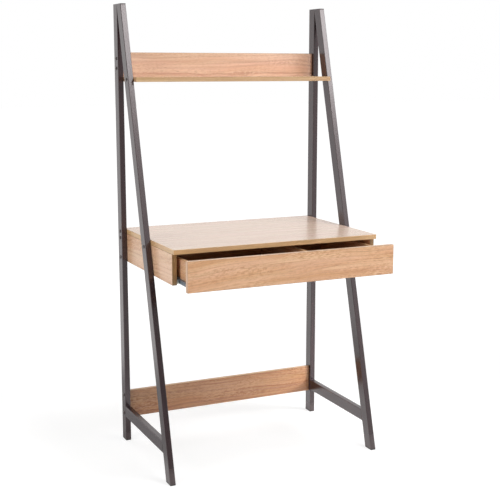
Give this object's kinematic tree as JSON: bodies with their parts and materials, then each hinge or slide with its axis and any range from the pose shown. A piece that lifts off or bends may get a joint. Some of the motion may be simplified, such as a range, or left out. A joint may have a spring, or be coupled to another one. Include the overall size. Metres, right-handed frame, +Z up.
{
  "type": "ladder desk",
  "caption": "Ladder desk of leaning steel tube frames with a worktop over one wide divided drawer on roller runners, a shelf with an upright back board, and a low back board.",
  "frame": {"origin": "on the floor, at the middle of the desk's outline with its drawer partly open", "axes": "+X to the right along the worktop, +Y to the rear, +Z up"},
  "size_m": [0.7556, 0.593, 1.495],
  "materials": {
    "powder_coat": "satin dark umber-grey powder coat on steel tube",
    "foot_plastic": "matte black moulded plastic",
    "oak_board": "particle board with pale oak foil and edge bands, satin",
    "bottom_sheet": "thin hardboard sheet with oak foil",
    "bolt_black": "black zinc-plated steel",
    "runner_grey": "blue-grey epoxy-coated sheet steel",
    "roller_white": "white nylon",
    "zinc_steel": "zinc-plated steel",
    "cam_metal": "die-cast zinc alloy",
    "dowel_wood": "beech dowel"
  },
  "bodies": {
    "frame": {"desk_back_panel": "oak_board", "desk_cam_bolts": "zinc_steel", "desk_cams": "cam_metal", "desk_side_left": "oak_board", "desk_side_right": "oak_board", "dowels": "dowel_wood", "fixed_roller_pins": "zinc_steel", "fixed_runner_left": "runner_grey", "fixed_runner_right": "runner_grey", "fixed_runner_screws": "zinc_steel", "frame_bolts": "bolt_black", "front_foot_left": "foot_plastic", "front_foot_right": "foot_plastic", "front_post_left": "powder_coat", "front_post_right": "powder_coat", "lower_back_board": "oak_board", "rear_foot_left": "foot_plastic", "rear_foot_right": "foot_plastic", "rear_post_left": "powder_coat", "rear_post_right": "powder_coat", "shelf": "oak_board", "shelf_screws": "zinc_steel", "side_rail_left": "powder_coat", "side_rail_right": "powder_coat", "threaded_inserts": "zinc_steel", "top_plate_left": "powder_coat", "top_plate_right": "powder_coat", "upper_back_board": "oak_board", "worktop": "oak_board"},
    "drawer": {"drawer_back": "oak_board", "drawer_bottom": "bottom_sheet", "drawer_cam_bolts": "zinc_steel", "drawer_cams": "cam_metal", "drawer_divider": "oak_board", "drawer_front": "oak_board", "drawer_screws": "zinc_steel", "drawer_side_left": "oak_board", "drawer_side_right": "oak_board", "moving_roller_pins": "zinc_steel", "moving_runner_left": "runner_grey", "moving_runner_right": "runner_grey", "moving_runner_screws": "zinc_steel"},
    "fixed_roller_left": {"fixed_roller_left": "roller_white"},
    "fixed_roller_right": {"fixed_roller_right": "roller_white"},
    "moving_roller_left": {"moving_roller_left": "roller_white"},
    "moving_roller_right": {"moving_roller_right": "roller_white"}
  },
  "joints": [
    {"name": "drawer_slide", "type": "slide", "parent": "frame", "child": "drawer", "axis": [0, -1, 0], "range_m": [-0.108, 0.192]},
    {"name": "fixed_roller_left_spin", "type": "hinge", "parent": "frame", "child": "fixed_roller_left", "pos_m": [-0.335, -0.1605, 0.6475], "axis": [1, 0, 0], "range_deg": [-774, 1375.6]},
    {"name": "fixed_roller_right_spin", "type": "hinge", "parent": "frame", "child": "fixed_roller_right", "pos_m": [0.335, -0.1605, 0.6475], "axis": [1, 0, 0], "range_deg": [-774, 1375.6]},
    {"name": "moving_roller_left_spin", "type": "hinge", "parent": "drawer", "child": "moving_roller_left", "pos_m": [-0.335, 0.1115, 0.6509], "axis": [1, 0, 0], "range_deg": [-774, 1375.6]},
    {"name": "moving_roller_right_spin", "type": "hinge", "parent": "drawer", "child": "moving_roller_right", "pos_m": [0.335, 0.1115, 0.6509], "axis": [1, 0, 0], "range_deg": [-774, 1375.6]}
  ],
  "couplings": [
    {"joint": "fixed_roller_left_spin", "follows": "drawer_slide", "rad_per_m": 125},
    {"joint": "fixed_roller_right_spin", "follows": "drawer_slide", "rad_per_m": 125},
    {"joint": "moving_roller_left_spin", "follows": "drawer_slide", "rad_per_m": 125},
    {"joint": "moving_roller_right_spin", "follows": "drawer_slide", "rad_per_m": 125}
  ]
}
